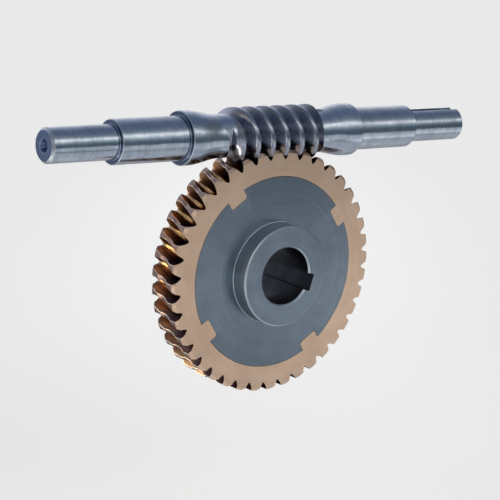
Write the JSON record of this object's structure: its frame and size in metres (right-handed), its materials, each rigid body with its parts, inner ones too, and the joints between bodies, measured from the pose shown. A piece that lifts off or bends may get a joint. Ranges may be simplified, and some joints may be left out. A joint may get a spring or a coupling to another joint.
{
  "type": "worm gear set",
  "caption": "Steel worm shaft with bearing journals and keyed end, in mesh with a bronze-rimmed worm wheel with a keyed hub bore.",
  "frame": {"origin": "centre of the worm wheel, on its bore axis and in the middle of its face width", "axes": "+X along the worm shaft towards the keyed end, +Y along the wheel's bore axis, +Z from the wheel's centre up to the worm's axis"},
  "size_m": [0.528, 0.08, 0.299],
  "materials": {
    "shaft_steel": "ground and turned bright steel with a cool blue-grey cast",
    "ring_bronze": "machined phosphor bronze, pinkish-brown side faces and golden cut teeth",
    "centre_steel": "fine-turned steel, darker blue-grey than the shaft",
    "point_steel": "hardened and ground steel"
  },
  "bodies": {
    "fixed_base": {"fixed_centre_point": "point_steel"},
    "wheel": {"bronze_ring": "ring_bronze", "wheel_centre": "centre_steel"},
    "worm": {"worm_shaft": "shaft_steel"}
  },
  "joints": [
    {"name": "wheel_spin", "type": "hinge", "parent": "fixed_base", "child": "wheel", "pos_m": [0, 0, 0], "axis": [0, 1, 0], "continuous": true},
    {"name": "worm_spin", "type": "hinge", "parent": "fixed_base", "child": "worm", "pos_m": [0, 0, 0.1425], "axis": [1, 0, 0], "continuous": true}
  ],
  "couplings": [
    {"joint": "worm_spin", "follows": "wheel_spin", "ratio": -20}
  ]
}
